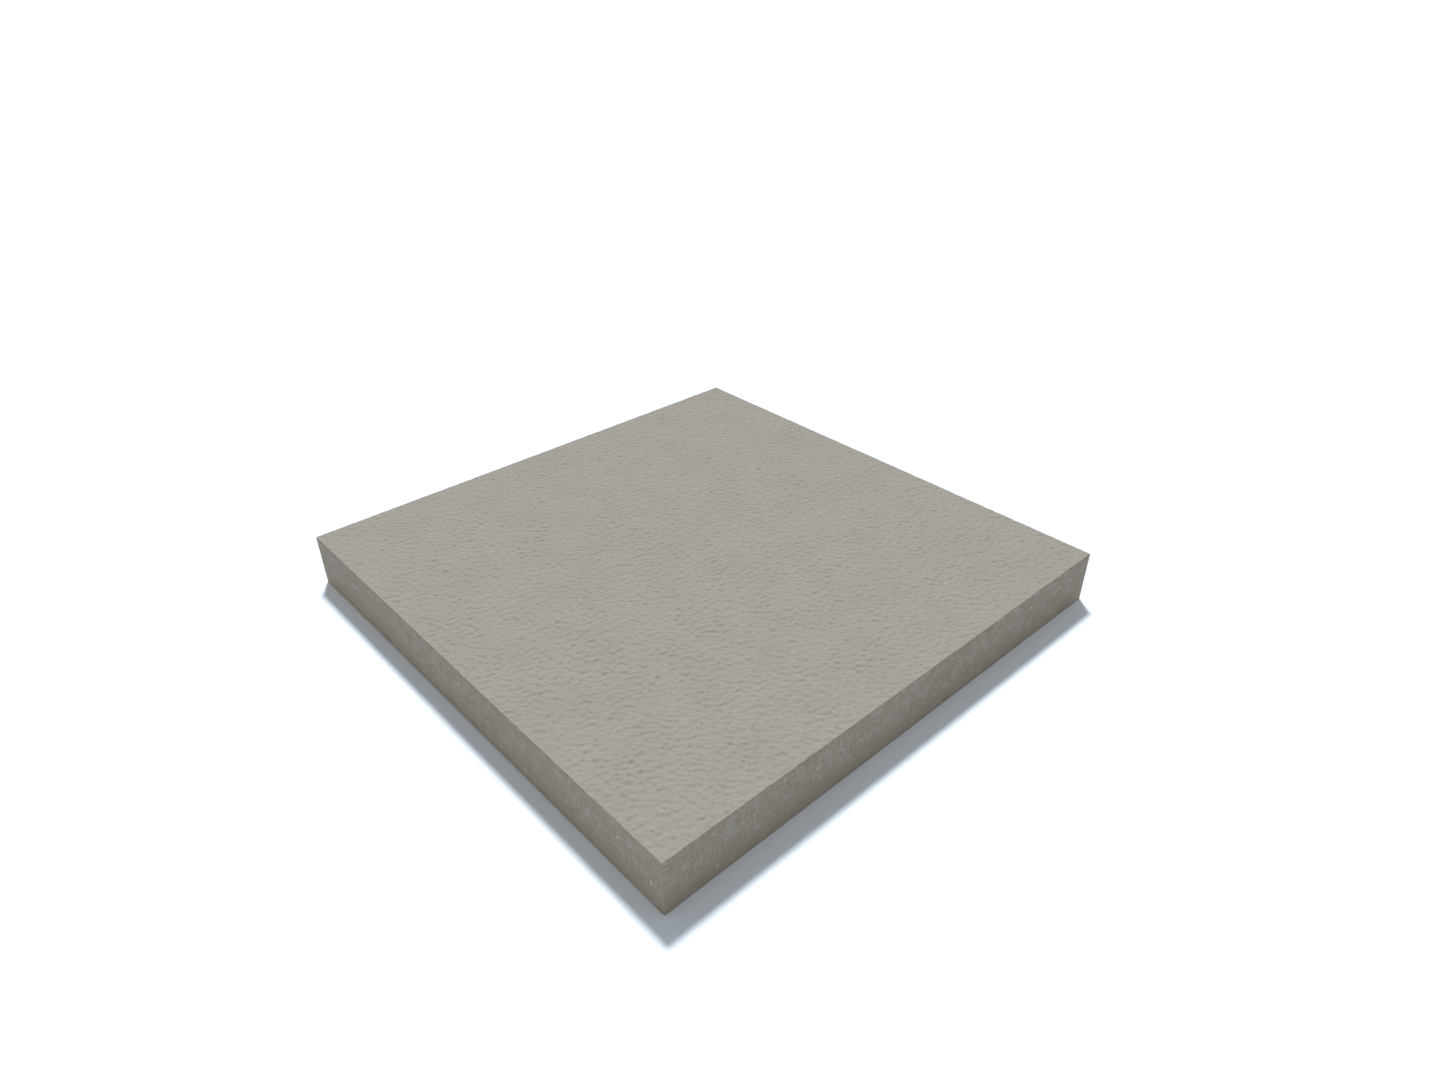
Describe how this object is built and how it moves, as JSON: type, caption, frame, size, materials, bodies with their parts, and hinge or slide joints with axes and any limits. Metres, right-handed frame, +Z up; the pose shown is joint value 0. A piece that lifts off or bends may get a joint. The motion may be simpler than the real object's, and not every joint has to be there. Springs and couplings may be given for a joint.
{
  "type": "concrete paving slab",
  "caption": "Square pressed-concrete paving slab with a plain, finely textured wearing face, upright sides and fine arrises, laid flat as outdoor paving.",
  "frame": {"origin": "centre of the underside, the face that lies on the bedding", "axes": "+Z up through the thickness to the wearing face, +X and +Y square to the upright sides"},
  "size_m": [0.5, 0.5, 0.05],
  "materials": {
    "concrete": "fine pressed concrete, matt"
  },
  "bodies": {
    "root": {"paving_slab": "concrete"}
  },
  "joints": []
}
